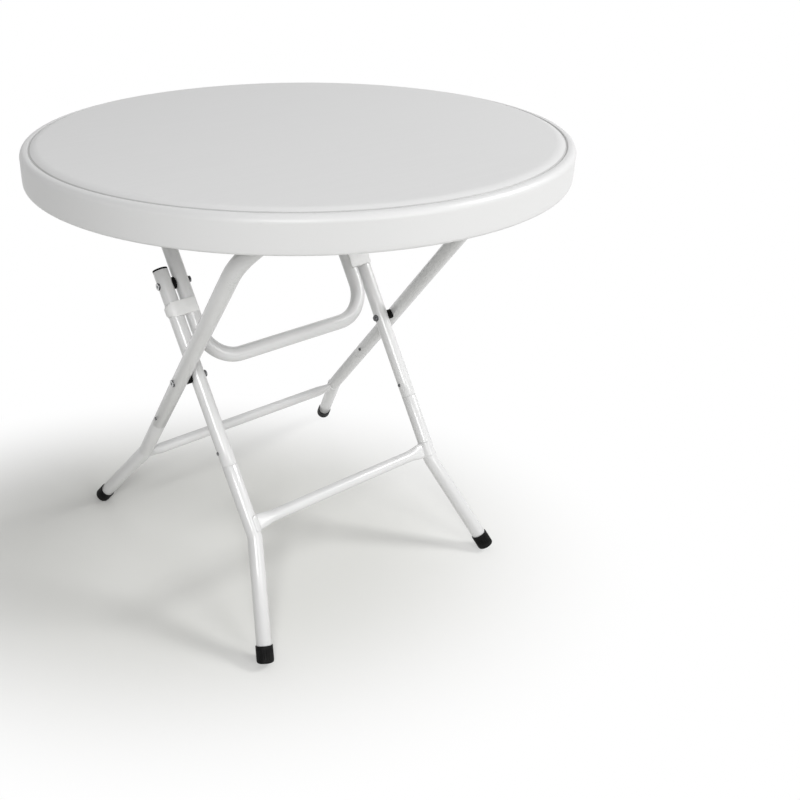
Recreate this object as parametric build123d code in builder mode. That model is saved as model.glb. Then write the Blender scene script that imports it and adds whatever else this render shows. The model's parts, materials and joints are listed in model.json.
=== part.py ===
from build123d import *
import os
from math import asin, cos, degrees, radians, sin, sqrt, tan

# Overall sizes of the unfolded table, in millimetres and degrees
table_diameter = 800.0
table_height = 743.0
rim_depth = 48.0

# Where the frames are hinged and stand, measured from the table's middle
hinge_drop = 53.0
outer_hinge_reach = 229.0
brace_hinge_reach = 209.0
outer_foot_reach = 280.0
inner_foot_reach = 286.0
folded_leg_angle = 1.0

# Table top, a hollow moulding
rim_width = 28.0
panel_thickness = 25.0
skin = 3.0
shoulder_width = 15.0
shoulder_drop = 3.0
shoulder_radius = 9.0
groove_width = 4.0
groove_depth = 3.8
disc_edge_radius = 24.0
disc_edge_run = 5.6
side_flare = 2.0
rim_edge_radius = 4.0
recess_corner_radius = 8.0
pit_radius = 11.0
pit_tip_radius = 4.0
pit_rings = ((105.0, 6), (202.5, 12), (300.0, 18))
boss_width = 40.0
boss_half_length = 32.0

# Tubes of the two leg frames and of the brace
tube_diameter = 25.0
tube_wall = 1.2
outer_half_width = 226.0
cross_gap = 8.0
brace_gap = 4.5
hoop_bend_radius = 85.0
brace_bend_radius = 60.0
brace_below_pivot = 140.0
brace_arm_overhang = 18.0
inner_tube_stub = 27.0

# Lower legs, which start at a seam and bend outwards
seam_height = 264.0
spigot_length = 38.0
spigot_wall = 1.2
seam_shoulder = 3.0
seam_chamfer = 0.5
leg_bend_radius = 40.0
outer_bend_height = 162.0
inner_bend_height = 164.0
outer_splay_angle = 17.2
inner_splay_angle = 16.4

# Crossbars with flattened ends that hug the legs
crossbar_diameter = 20.0
crossbar_wall = 1.2
sleeve_length = 28.0
sleeve_thickness = 1.8
flare_length = 34.0
flare_half_thickness = 6.0

# Feet and end plugs
foot_wall = 1.75
foot_length = 28.0
foot_base = 4.0
foot_round = 4.0
foot_flute_radius = 0.7
foot_flutes = 24
foot_flute_margin = 5.0
plug_head = 3.0
plug_shank = 12.0
plug_round = 0.9

# Hinge bar of the brace, straps and their screws
hinge_bar_diameter = 16.0
hinge_bar_overhang = 2.0
hinge_bar_wall = 1.5
front_strap_inset = 41.0
rear_strap_inset = 43.0
strap_width = 30.0
strap_thickness = 2.0
strap_screw_radius = 2.2
strap_screw_length = 20.0
strap_screw_head_radius = 4.5
strap_screw_head = 2.4

# Pivot bolts, nuts, spacers and leg screws
bolt_radius = 3.0
bolt_head_radius = 6.0
bolt_head = 2.0
bolt_head_round = 0.9
nut_across_flats = 10.0
nut_height = 3.0
nut_dome = 0.9
dome_round_share = 0.9
cross_spacer_radius = 8.5
brace_spacer_radius = 9.8
spacer_notch_radius = 1.0
spacer_notches = 16
leg_screw_radius = 1.6
leg_screw_length = 9.0
leg_screw_head_radius = 3.0
leg_screw_head = 1.6
leg_screw_above_seam = 24.0

# Lock clips, which hold the inner tubes in line with the brace
clip_length = 24.0
clip_wall = 2.5
clip_lip = 4.0
clip_reach = 6.0
clip_blunt = 1.0
clip_below_pivot = 31.0

# Clearances and the overrun of cuts
seat_gap = 0.05
pivot_gap = 0.08
moving_gap = 0.3
fold_stop_gap = 0.4
overrun = 5.0

# Sizes worked out from those above
tube_radius = tube_diameter / 2
tube_bore = tube_radius - tube_wall
crossbar_radius = crossbar_diameter / 2
hinge_bar_radius = hinge_bar_diameter / 2
foot_radius = tube_radius + foot_wall
inner_half_width = outer_half_width - tube_diameter - cross_gap
brace_half_width = inner_half_width - tube_diameter - brace_gap
front_strap_place = outer_half_width - hoop_bend_radius - front_strap_inset
rear_strap_place = brace_half_width - tube_radius - rear_strap_inset
table_radius = table_diameter / 2
hinge_height = table_height - hinge_drop
rim_bottom = table_height - rim_depth
panel_bottom = table_height - panel_thickness
sides = {"left": -1, "right": 1}


def crossed(a, b):
    """Cross product of two vectors seen along X."""
    return a.Y * b.Z - a.Z * b.Y


def folded_direction(angle):
    """Direction of a leg that is the angle short of lying flat under the top."""
    return Vector(0, cos(radians(angle)), -sin(radians(angle)))


def leg_plane(hinge, down):
    """Plane of a frame: origin on its hinge axis, X along the hinge, Y down the legs."""
    return Plane(origin=hinge, x_dir=(1, 0, 0), z_dir=Vector(1, 0, 0).cross(down))


def run_to_height(down, height):
    """Distance down a leg from the hinge axis to a height above the floor."""
    return (height - hinge_height) / down.Z


def splayed(down, angle):
    """Direction of a right leg below its bend, in the table's frame."""
    return down * cos(radians(angle)) + Vector(1, 0, 0) * sin(radians(angle))


def foot_end_run(down, angle):
    """Distance down the leg at which the tilted foot's rounded edge just meets the floor."""
    lean = splayed(down, angle)
    tilt_sine = sqrt(1 - lean.Z**2)
    end_height = (foot_radius - foot_round) * tilt_sine + foot_round * (1 + lean.Z)
    return run_to_height(down, end_height)


# The two leg planes cross at the cross pivot
outer_hinge = Vector(0, -outer_hinge_reach, hinge_height)
brace_hinge = Vector(0, brace_hinge_reach, hinge_height)
outer_down = (Vector(0, outer_foot_reach, 0) - outer_hinge).normalized()
inner_down = (Vector(0, -inner_foot_reach, 0) - brace_hinge).normalized()
hinge_span = brace_hinge - outer_hinge
outer_cross_run = crossed(hinge_span, inner_down) / crossed(outer_down, inner_down)
inner_cross_run = crossed(hinge_span, outer_down) / crossed(outer_down, inner_down)
cross_pivot = outer_hinge + outer_down * outer_cross_run
outer_plane = leg_plane(outer_hinge, outer_down)
inner_plane = leg_plane(brace_hinge, inner_down)

# Each crossbar sits next to its legs' bend, the outer one below and the inner one above
outer_bend_run = run_to_height(outer_down, outer_bend_height)
inner_bend_run = run_to_height(inner_down, inner_bend_height)
outer_bend_tangent = leg_bend_radius * tan(radians(outer_splay_angle) / 2)
inner_bend_tangent = leg_bend_radius * tan(radians(inner_splay_angle) / 2)
outer_bar_reach = outer_bend_tangent + sleeve_length / 2 + moving_gap
outer_bar_shift = outer_bar_reach * cos(radians(outer_splay_angle))
outer_bar_run = outer_bend_run + outer_bar_shift
outer_bar_leg_x = outer_half_width + outer_bar_shift * tan(radians(outer_splay_angle))
inner_bar_run = inner_bend_run - inner_bend_tangent - sleeve_length / 2 - moving_gap

# Folded, the inner legs rest on the outer crossbar, which fixes the brace pivot's place
fold_stop_angle = degrees(
    asin((tube_radius + crossbar_radius + fold_stop_gap) / (outer_bar_run - outer_cross_run))
)
folded_cross = outer_hinge + folded_direction(folded_leg_angle) * outer_cross_run - brace_hinge
folded_inner = folded_direction(folded_leg_angle + fold_stop_angle)
pivot_spacing = (inner_cross_run**2 - folded_cross.dot(folded_cross)) / (
    (inner_cross_run - folded_cross.dot(folded_inner)) * 2
)
brace_pivot_run = inner_cross_run - pivot_spacing
brace_pivot = brace_hinge + inner_down * brace_pivot_run
brace_bottom_run = brace_pivot_run + brace_below_pivot


def keep(name, piece):
    """Label a finished piece and write it to its file."""
    piece.part.label = name
    export_step(piece.part, f"parts/{name}.step")


def drill_along_x(x, centre, radius, length):
    """Cut a hole of the given length along X, centred at x, in the part being built."""
    with Locations((x, centre.Y, centre.Z)):
        Cylinder(radius, length, rotation=(0, 90, 0), mode=Mode.SUBTRACT)


def bent_tube(plane, points, bend_radius):
    """Sweep the frame tube along straight runs joined by bends, in a frame's plane."""
    with BuildLine(plane) as route:
        FilletPolyline(*points, radius=bend_radius)
    with BuildSketch(Plane(origin=route.line @ 0, z_dir=route.line % 0)) as section:
        Circle(tube_radius)
        Circle(tube_bore, mode=Mode.SUBTRACT)
    sweep(section.sketch, path=route.line)


def leg_point(plane, x, run):
    """Point at a place across and down a frame's plane, in the table's frame."""
    return plane.from_local_coords(Vector(x, run, 0))


def pit_places():
    """Places of the moulded pits under the panel, in rings, clear of the hinges."""
    places = []
    for radius, count in pit_rings:
        places += [Vector(radius, 0, 0).rotate(Axis.Z, 360 * k / count) for k in range(count)]
    return [place for place in places if not near_a_boss(place)]


def near_a_boss(place):
    """Whether a pit would run into one of the moulded hinge bosses."""
    reach_x = boss_width / 2 + pit_radius + skin * 2
    reach_y = boss_half_length + pit_radius + skin * 2
    return any(
        abs(abs(place.X) - x) < reach_x and abs(place.Y - y) < reach_y
        for x, y in ((front_strap_place, -outer_hinge_reach), (rear_strap_place, brace_hinge_reach))
    )


hinges = {
    "front": (front_strap_place, outer_hinge, tube_radius),
    "rear": (rear_strap_place, brace_hinge, hinge_bar_radius),
}


def strap_screw_places():
    """Places of the strap screws on the underside of the bosses."""
    places = []
    for place_x, hinge, bar_radius in hinges.values():
        screw_y = (bar_radius + strap_thickness + boss_half_length) / 2
        for side in sides.values():
            for way in (-1, 1):
                places.append(Vector(side * place_x, hinge.Y + way * screw_y, hinge_height))
    return places


def build_table_top():
    """Hollow round top: skins, rim, pits that join the skins, and saddles for the hinges."""
    groove_middle = table_radius - shoulder_width
    disc_radius = groove_middle - groove_width / 2
    shoulder_start = groove_middle + groove_width / 2
    shoulder_top = table_height - shoulder_drop
    groove_bottom = table_height - groove_depth
    recess_radius = table_radius - rim_width
    with BuildPart() as top:
        with BuildSketch(Plane.XZ) as outside:
            with BuildLine():
                Polyline(
                    (0, table_height),
                    (disc_radius - disc_edge_run, table_height),
                    (disc_radius, shoulder_top),
                    (groove_middle, groove_bottom),
                    (shoulder_start, shoulder_top),
                    (table_radius - side_flare, shoulder_top),
                    (table_radius, rim_bottom + rim_edge_radius * 2),
                    (table_radius, rim_bottom),
                    (recess_radius, rim_bottom),
                    (recess_radius, panel_bottom),
                    (0, panel_bottom),
                    close=True,
                )
            make_face()
            corners = outside.vertices()
            disc_edge = corners.group_by(Axis.Y)[-1].sort_by(Axis.X)[-1]
            fillet(disc_edge, radius=disc_edge_radius)
            shoulder_edge = outside.vertices().filter_by(
                lambda v: abs(v.Y - shoulder_top) < seat_gap
            ).sort_by(Axis.X)[-1]
            fillet(shoulder_edge, radius=shoulder_radius)
            fillet(outside.vertices().group_by(Axis.Y)[0], radius=rim_edge_radius)
            recess_corner = outside.vertices().filter_by(
                lambda v: abs(v.Y - panel_bottom) < seat_gap
            ).sort_by(Axis.X)[-1]
            fillet(recess_corner, radius=recess_corner_radius)
        revolve(axis=Axis.Z)
        with BuildSketch(Plane.XZ) as inside:
            with BuildLine():
                Polyline(
                    (0, table_height - skin),
                    (disc_radius - disc_edge_run - skin, table_height - skin),
                    (disc_radius, groove_bottom - skin),
                    (table_radius - side_flare - skin, groove_bottom - skin),
                    (table_radius - skin, rim_bottom + skin),
                    (recess_radius + skin, rim_bottom + skin),
                    (recess_radius + skin, panel_bottom + skin),
                    (0, panel_bottom + skin),
                    close=True,
                )
            make_face()
            hollow_edge = inside.vertices().filter_by(
                lambda v: abs(v.Y - groove_bottom + skin) < seat_gap
            ).sort_by(Axis.X)[-1]
            fillet(hollow_edge, radius=shoulder_radius - skin)
        revolve(axis=Axis.Z, mode=Mode.SUBTRACT)
        places = [place + Vector(0, 0, panel_bottom) for place in pit_places()]
        upright = (Align.CENTER, Align.CENTER, Align.MIN)
        pit_wall_height = panel_thickness - skin / 2
        pit_depth = panel_thickness - skin * 2
        with Locations(*places):
            Cone(pit_radius + skin, pit_tip_radius + skin, pit_wall_height, align=upright)
        with Locations(*places):
            Cone(pit_radius, pit_tip_radius, pit_depth, align=upright, mode=Mode.SUBTRACT)
        boss_height = panel_bottom + skin / 2 - hinge_height
        for place_x, hinge, bar_radius in hinges.values():
            with Locations((-place_x, hinge.Y, hinge_height), (place_x, hinge.Y, hinge_height)):
                Box(boss_width, boss_half_length * 2, boss_height, align=upright)
            with Locations((0, hinge.Y, hinge_height)):
                Cylinder(
                    bar_radius + pivot_gap,
                    place_x * 2 + boss_width + overrun,
                    rotation=(0, 90, 0),
                    mode=Mode.SUBTRACT,
                )
        with Locations(*strap_screw_places()):
            Cylinder(
                strap_screw_radius + seat_gap,
                boss_height + skin,
                align=upright,
                mode=Mode.SUBTRACT,
            )
    return top


def build_strap(place_x, hinge, bar_radius):
    """Bent steel strap that holds a hinge bar up in its saddle."""
    inner_radius = bar_radius + pivot_gap
    flange = boss_half_length - inner_radius
    with BuildPart() as strap:
        with BuildSketch(Plane.YZ.offset(place_x - strap_width / 2)):
            with Locations((hinge.Y, hinge_height)):
                Circle(inner_radius + strap_thickness)
                Circle(inner_radius, mode=Mode.SUBTRACT)
                Rectangle(
                    table_radius,
                    table_radius,
                    align=(Align.CENTER, Align.MAX),
                    mode=Mode.INTERSECT,
                )
            flange_middle = inner_radius + flange / 2
            with Locations(
                (hinge.Y - flange_middle, hinge_height), (hinge.Y + flange_middle, hinge_height)
            ):
                Rectangle(flange, strap_thickness, align=(Align.CENTER, Align.MAX))
        extrude(amount=strap_width)
        near = [
            place
            for place in strap_screw_places()
            if abs(place.X - place_x) < strap_width and place.Y * hinge.Y > 0
        ]
        with Locations(*near):
            Cylinder(strap_screw_radius + seat_gap, overrun * 2, mode=Mode.SUBTRACT)
    return strap


def build_strap_screws():
    """Pan-head screws that hold the straps on the bosses."""
    with BuildPart() as screws:
        for place in strap_screw_places():
            head_face = place - Vector(0, 0, strap_thickness)
            with Locations(head_face):
                Cylinder(
                    strap_screw_head_radius,
                    strap_screw_head,
                    align=(Align.CENTER, Align.CENTER, Align.MAX),
                )
                Cylinder(
                    strap_screw_radius,
                    strap_screw_length,
                    align=(Align.CENTER, Align.CENTER, Align.MIN),
                )
        heads = screws.edges().filter_by(GeomType.CIRCLE).group_by(Axis.Z)[0]
        fillet(heads, radius=strap_screw_head / 2)
    return screws


def build_outer_hoop():
    """Upside-down U of the outer frame, from seam to seam."""
    seam_run = run_to_height(outer_down, seam_height)
    screw_run = seam_run - leg_screw_above_seam
    with BuildPart() as hoop:
        corners = [
            (outer_half_width, seam_run),
            (outer_half_width, 0),
            (-outer_half_width, 0),
            (-outer_half_width, seam_run),
        ]
        bent_tube(outer_plane, corners, hoop_bend_radius)
        for side in sides.values():
            x = side * outer_half_width
            drill_along_x(x, cross_pivot, bolt_radius + seat_gap, tube_diameter + overrun)
            screw_centre = leg_point(outer_plane, 0, screw_run)
            drill_along_x(x - tube_radius, screw_centre, leg_screw_radius + seat_gap, tube_diameter)
    return hoop


def build_inner_tube(side):
    """Straight upper tube of the inner frame, from its end plug to the seam."""
    x = side * inner_half_width
    start_run = brace_pivot_run - inner_tube_stub + plug_head
    seam_run = run_to_height(inner_down, seam_height)
    with BuildPart() as tube:
        with BuildSketch(Plane(origin=leg_point(inner_plane, x, start_run), z_dir=inner_down)):
            Circle(tube_radius)
            Circle(tube_bore, mode=Mode.SUBTRACT)
        extrude(amount=seam_run - start_run)
        drill_along_x(x, cross_pivot, bolt_radius + seat_gap, tube_diameter + overrun)
        drill_along_x(x, brace_pivot, bolt_radius + seat_gap, tube_diameter + overrun)
        screw_centre = leg_point(inner_plane, 0, seam_run - leg_screw_above_seam)
        drill_along_x(x - tube_radius, screw_centre, leg_screw_radius + seat_gap, tube_diameter)
    return tube


def build_lower_leg(side, plane, down, half_width, bend_run, angle):
    """Lower leg: a spigot inside the upper tube, a straight run, a bend and a splayed run."""
    seam_run = run_to_height(down, seam_height)
    end_run = foot_end_run(down, angle) - foot_base * cos(radians(angle))
    end_x = half_width + (end_run - bend_run) * tan(radians(angle))
    x = side * half_width
    spigot_radius = tube_bore - seat_gap
    with BuildPart() as leg:
        corners = [(x, seam_run), (x, bend_run), (side * end_x, end_run)]
        bent_tube(plane, corners, leg_bend_radius)
        seam_point = leg_point(plane, x, seam_run)
        rim_edges = leg.edges().filter_by(GeomType.CIRCLE).sort_by_distance(seam_point)[:2]
        chamfer(rim_edges.sort_by(SortBy.RADIUS)[-1], length=seam_chamfer)
        with BuildSketch(Plane(origin=leg_point(plane, x, seam_run - spigot_length), z_dir=down)):
            Circle(spigot_radius)
            Circle(spigot_radius - spigot_wall, mode=Mode.SUBTRACT)
        extrude(amount=spigot_length + tube_wall)
        with BuildSketch(Plane(origin=seam_point, z_dir=down)):
            Circle(tube_bore + seam_chamfer / 2)
            Circle(spigot_radius - spigot_wall, mode=Mode.SUBTRACT)
        extrude(amount=seam_shoulder)
        screw_centre = leg_point(plane, 0, seam_run - leg_screw_above_seam)
        drill_along_x(x - tube_radius, screw_centre, leg_screw_radius + seat_gap, tube_diameter)
    return leg


def build_foot(side, plane, down, half_width, bend_run, angle):
    """Fluted cap over the end of a splayed leg, with a rounded lower edge."""
    end_run = foot_end_run(down, angle)
    end_x = half_width + (end_run - bend_run) * tan(radians(angle))
    end = leg_point(plane, side * end_x, end_run)
    lean = splayed(down, angle)
    up = Vector(-side * lean.X, -lean.Y, -lean.Z)
    across = plane.z_dir
    with BuildPart() as foot:
        with BuildSketch(Plane(origin=end, x_dir=across, z_dir=across.cross(up))) as outline:
            bore_radius = tube_radius + seat_gap
            with BuildLine():
                Polyline(
                    (0, 0),
                    (foot_radius, 0),
                    (foot_radius, foot_length),
                    (bore_radius, foot_length),
                    (bore_radius, foot_base),
                    (0, foot_base),
                    close=True,
                )
            make_face()
            floor_edge = outline.vertices().group_by(Axis.Y)[0].sort_by(Axis.X)[-1]
            fillet(floor_edge, radius=foot_round)
        revolve(axis=Axis(end, up))
        with BuildSketch(Plane(origin=end + up * foot_flute_margin, x_dir=across, z_dir=up)):
            with PolarLocations(foot_radius, foot_flutes):
                Circle(foot_flute_radius)
        extrude(amount=foot_length - foot_flute_margin * 2, mode=Mode.SUBTRACT)
    return foot


def build_crossbar(plane, down, bar_run, leg_x, angle):
    """Round bar whose flattened, flared ends wrap the inner half of the legs."""
    leg_way = splayed(down, angle)
    inward = leg_way.cross(plane.z_dir) * -1
    shoulder_x = leg_x - tube_radius - flare_length
    sleeve_radius = tube_radius + seat_gap + sleeve_thickness

    def section_plane(x):
        return Plane(origin=leg_point(plane, x, bar_run), x_dir=down, z_dir=(1, 0, 0))

    with BuildPart() as bar:
        with BuildSketch(section_plane(shoulder_x)):
            Circle(crossbar_radius)
        with BuildSketch(section_plane(leg_x)):
            Ellipse(sleeve_length / 2, flare_half_thickness)
        loft()
        sleeve_start = leg_point(plane, leg_x, bar_run) - leg_way * (sleeve_length / 2)
        with BuildSketch(Plane(origin=sleeve_start, x_dir=inward, z_dir=leg_way)):
            Circle(sleeve_radius)
            Rectangle(
                sleeve_radius,
                sleeve_radius * 2,
                align=(Align.MIN, Align.CENTER),
                mode=Mode.INTERSECT,
            )
        extrude(amount=sleeve_length)
        cut_start = sleeve_start - leg_way * overrun
        with BuildSketch(Plane(origin=cut_start, x_dir=inward, z_dir=leg_way)):
            Circle(tube_radius + seat_gap)
        extrude(amount=sleeve_length + overrun * 2, mode=Mode.SUBTRACT)
        mirror(about=Plane.YZ)
        with BuildSketch(section_plane(-shoulder_x)):
            Circle(crossbar_radius)
            Circle(crossbar_radius - crossbar_wall, mode=Mode.SUBTRACT)
        extrude(amount=shoulder_x * 2)
    return bar


def build_inner_plug(side):
    """End plug of an inner tube: a thin rounded head and a shank in the tube."""
    start_run = brace_pivot_run - inner_tube_stub
    start = leg_point(inner_plane, side * inner_half_width, start_run)
    with BuildPart() as plug:
        with BuildSketch(Plane(origin=start, z_dir=inner_down)):
            Circle(tube_radius)
        extrude(amount=plug_head)
        rim = plug.edges().filter_by(GeomType.CIRCLE).sort_by_distance(start)[0]
        fillet(rim, radius=plug_round)
        with BuildSketch(Plane(origin=start + inner_down * plug_head, z_dir=inner_down)):
            Circle(tube_bore - seat_gap)
        extrude(amount=plug_shank - bolt_radius)
    return plug


def build_leg_screws(down, plane, half_width):
    """Screws through the upper tubes into the spigots, with their heads towards the left."""
    run = run_to_height(down, seam_height) - leg_screw_above_seam
    centre = leg_point(plane, 0, run)
    with BuildPart() as screws:
        for side in sides.values():
            head_x = side * half_width - tube_radius
            with BuildSketch(Plane.YZ.offset(head_x)):
                with Locations((centre.Y, centre.Z)):
                    Circle(leg_screw_radius)
            extrude(amount=leg_screw_length)
            with BuildSketch(Plane.YZ.offset(head_x - leg_screw_head)):
                with Locations((centre.Y, centre.Z)):
                    Circle(leg_screw_head_radius)
            extrude(amount=leg_screw_head)
            rim = [
                edge
                for edge in screws.edges().filter_by(GeomType.CIRCLE)
                if abs(edge.center().X - head_x + leg_screw_head) < seat_gap
            ]
            fillet(rim, radius=leg_screw_head / 2)
    return screws


def build_spacer(side, centre, low_x, high_x, radius):
    """Notched black spacer between two tubes at a pivot."""
    start_x = low_x if side > 0 else -high_x
    with BuildPart() as spacer:
        with BuildSketch(Plane.YZ.offset(start_x)):
            with Locations((centre.Y, centre.Z)):
                Circle(radius)
                Circle(bolt_radius + seat_gap, mode=Mode.SUBTRACT)
                with PolarLocations(radius, spacer_notches):
                    Circle(spacer_notch_radius, mode=Mode.SUBTRACT)
        extrude(amount=high_x - low_x)
    return spacer


def add_round(side, centre, low_x, high_x, radius):
    """Add a cylinder along X between two distances from the middle, on one side."""
    with BuildSketch(Plane.YZ.offset(side * low_x)) as disc:
        with Locations((centre.Y, centre.Z)):
            Circle(radius)
    extrude(disc.sketch, amount=side * (high_x - low_x))


def add_bolt_head(piece, side, centre, seat_x):
    """Add a round bolt head that stands outwards from its seat."""
    top_x = seat_x + bolt_head
    add_round(side, centre, seat_x, top_x, bolt_head_radius)
    rim = [
        edge
        for edge in piece.edges().filter_by(GeomType.CIRCLE)
        if abs(edge.center().X - side * top_x) < seat_gap
    ]
    fillet(rim, radius=bolt_head_round)


def add_nut(piece, side, centre, seat_x):
    """Add a low domed nut that stands inwards from its seat."""
    with BuildSketch(Plane.YZ.offset(side * seat_x)) as hexagon:
        with Locations((centre.Y, centre.Z)):
            RegularPolygon(nut_across_flats / 2, 6, major_radius=False)
    extrude(hexagon.sketch, amount=-side * nut_height)
    dome_radius = nut_across_flats / 2 - nut_dome
    add_round(side, centre, seat_x - nut_height, seat_x - nut_height - nut_dome, dome_radius)
    rim = [
        edge
        for edge in piece.edges().filter_by(GeomType.CIRCLE)
        if abs(edge.center().X - side * (seat_x - nut_height - nut_dome)) < seat_gap / 2
    ]
    fillet(rim, radius=nut_dome * dome_round_share)


def build_cross_bolts():
    """Cross pivot bolts: head outside the outer tube, shank up to the inner tube."""
    with BuildPart() as bolts:
        for side in sides.values():
            seat_x = outer_half_width + tube_radius + seat_gap
            end_x = inner_half_width + tube_radius + moving_gap
            add_round(side, cross_pivot, end_x, seat_x, bolt_radius)
            add_bolt_head(bolts, side, cross_pivot, seat_x)
    return bolts


def build_cross_nuts():
    """Ends of the cross pivot bolts in the inner tubes, with their nuts."""
    with BuildPart() as nuts:
        for side in sides.values():
            seat_x = inner_half_width - tube_radius - seat_gap
            end_x = inner_half_width + tube_radius
            add_round(side, cross_pivot, seat_x, end_x, bolt_radius)
            add_nut(nuts, side, cross_pivot, seat_x)
    return nuts


def build_brace_bolts():
    """Brace pivot bolts: head outside the inner tube, shank through spacer and brace."""
    with BuildPart() as bolts:
        for side in sides.values():
            seat_x = inner_half_width + tube_radius + seat_gap
            end_x = brace_half_width - tube_radius - moving_gap
            add_round(side, brace_pivot, end_x, seat_x, bolt_radius)
            add_bolt_head(bolts, side, brace_pivot, seat_x)
    return bolts


def build_brace_nuts():
    """Nuts of the brace pivot bolts, inside the brace's arms."""
    with BuildPart() as nuts:
        for side in sides.values():
            add_nut(nuts, side, brace_pivot, brace_half_width - tube_radius - moving_gap)
    return nuts


def build_brace_tube():
    """U-shaped brace with holes for its hinge bar and pivot bolts."""
    with BuildPart() as brace:
        corners = [
            (brace_half_width, -brace_arm_overhang),
            (brace_half_width, brace_bottom_run),
            (-brace_half_width, brace_bottom_run),
            (-brace_half_width, -brace_arm_overhang),
        ]
        bent_tube(inner_plane, corners, brace_bend_radius)
        for side in sides.values():
            x = side * brace_half_width
            drill_along_x(x, brace_hinge, hinge_bar_radius + seat_gap, tube_diameter + overrun)
            drill_along_x(x, brace_pivot, bolt_radius + pivot_gap, tube_diameter + overrun)
    return brace


def build_hinge_bar():
    """Tube through the brace's arms that turns in the rear saddles."""
    reach = brace_half_width + tube_radius + hinge_bar_overhang
    with BuildPart() as bar:
        with BuildSketch(Plane.YZ.offset(-reach)):
            with Locations((brace_hinge.Y, brace_hinge.Z)):
                Circle(hinge_bar_radius)
                Circle(hinge_bar_radius - hinge_bar_wall, mode=Mode.SUBTRACT)
        extrude(amount=reach * 2)
    return bar


def build_lock_clip(side):
    """Clip on the brace over the near side of the inner tube, with a round far end."""
    start_run = brace_pivot_run + clip_below_pivot
    tube_x = side * inner_half_width
    arm_x = side * brace_half_width
    cover = tube_radius + moving_gap + clip_wall
    face_start = brace_half_width - clip_reach
    round_x = inner_half_width + cover + clip_blunt - clip_length / 2
    plane = Plane(
        origin=leg_point(inner_plane, 0, start_run - overrun), x_dir=(1, 0, 0), z_dir=inner_down
    )
    middle = leg_point(inner_plane, 0, start_run + clip_length / 2)
    with BuildPart() as clip:
        with BuildSketch(plane):
            with Locations((tube_x, 0)):
                Circle(cover)
            with Locations((side * (face_start + inner_half_width) / 2, cover / 2)):
                Rectangle(inner_half_width - face_start, cover)
            with Locations((side * (inner_half_width + cover) / 2, (cover - clip_lip) / 2)):
                Rectangle(inner_half_width + cover, cover + clip_lip, mode=Mode.INTERSECT)
            with Locations((tube_x, 0)):
                Circle(tube_radius + moving_gap, mode=Mode.SUBTRACT)
            with Locations((tube_x, -clip_lip)):
                Rectangle((tube_radius + moving_gap) * 2, clip_lip * 2, mode=Mode.SUBTRACT)
            with Locations((side * (inner_half_width - cover), -clip_lip)):
                Rectangle(tube_diameter, clip_lip * 2, mode=Mode.SUBTRACT)
            with Locations((arm_x, 0)):
                Circle(tube_radius + seat_gap, mode=Mode.SUBTRACT)
        extrude(amount=clip_length + overrun * 2)
        with BuildSketch(Plane(origin=middle, x_dir=(1, 0, 0), z_dir=inner_plane.z_dir)):
            with Locations((side * round_x / 2, 0)):
                SlotCenterToCenter(round_x, clip_length)
        extrude(amount=cover + overrun, both=True, mode=Mode.INTERSECT)
    return clip


os.makedirs("parts", exist_ok=True)
keep("table_top", build_table_top())
keep("strap_screws", build_strap_screws())
keep("outer_hoop", build_outer_hoop())
outer_bar = (outer_plane, outer_down, outer_bar_run, outer_bar_leg_x, outer_splay_angle)
inner_bar = (inner_plane, inner_down, inner_bar_run, inner_half_width, 0)
keep("outer_crossbar", build_crossbar(*outer_bar))
keep("inner_crossbar", build_crossbar(*inner_bar))
keep("outer_leg_screws", build_leg_screws(outer_down, outer_plane, outer_half_width))
keep("inner_leg_screws", build_leg_screws(inner_down, inner_plane, inner_half_width))
keep("cross_bolts", build_cross_bolts())
keep("cross_nuts", build_cross_nuts())
keep("brace_bolts", build_brace_bolts())
keep("brace_nuts", build_brace_nuts())
keep("brace_tube", build_brace_tube())
keep("brace_hinge_bar", build_hinge_bar())
for side_name, side in sides.items():
    for end_name, (place_x, hinge, bar_radius) in hinges.items():
        keep(f"hinge_strap_{end_name}_{side_name}", build_strap(side * place_x, hinge, bar_radius))
    outer_leg = (side, outer_plane, outer_down, outer_half_width, outer_bend_run, outer_splay_angle)
    inner_leg = (side, inner_plane, inner_down, inner_half_width, inner_bend_run, inner_splay_angle)
    keep(f"outer_leg_{side_name}", build_lower_leg(*outer_leg))
    keep(f"inner_leg_{side_name}", build_lower_leg(*inner_leg))
    keep(f"outer_foot_{side_name}", build_foot(*outer_leg))
    keep(f"inner_foot_{side_name}", build_foot(*inner_leg))
    keep(f"inner_tube_{side_name}", build_inner_tube(side))
    keep(f"inner_plug_{side_name}", build_inner_plug(side))
    keep(f"lock_clip_{side_name}", build_lock_clip(side))
    cross_low = inner_half_width + tube_radius + moving_gap
    cross_high = outer_half_width - tube_radius - seat_gap
    cross_spacer = (side, cross_pivot, cross_low, cross_high, cross_spacer_radius)
    keep(f"cross_spacer_{side_name}", build_spacer(*cross_spacer))
    brace_low = brace_half_width + tube_radius + moving_gap
    brace_high = inner_half_width - tube_radius - seat_gap
    brace_spacer = (side, brace_pivot, brace_low, brace_high, brace_spacer_radius)
    keep(f"brace_spacer_{side_name}", build_spacer(*brace_spacer))
print("cross pivot", cross_pivot)
print("brace pivot", brace_pivot)
print("fold stop angle", fold_stop_angle)
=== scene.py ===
import json

import bmesh
import bpy
import numpy as np
from mathutils import Matrix, Vector
from mathutils.geometry import delaunay_2d_cdt


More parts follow.
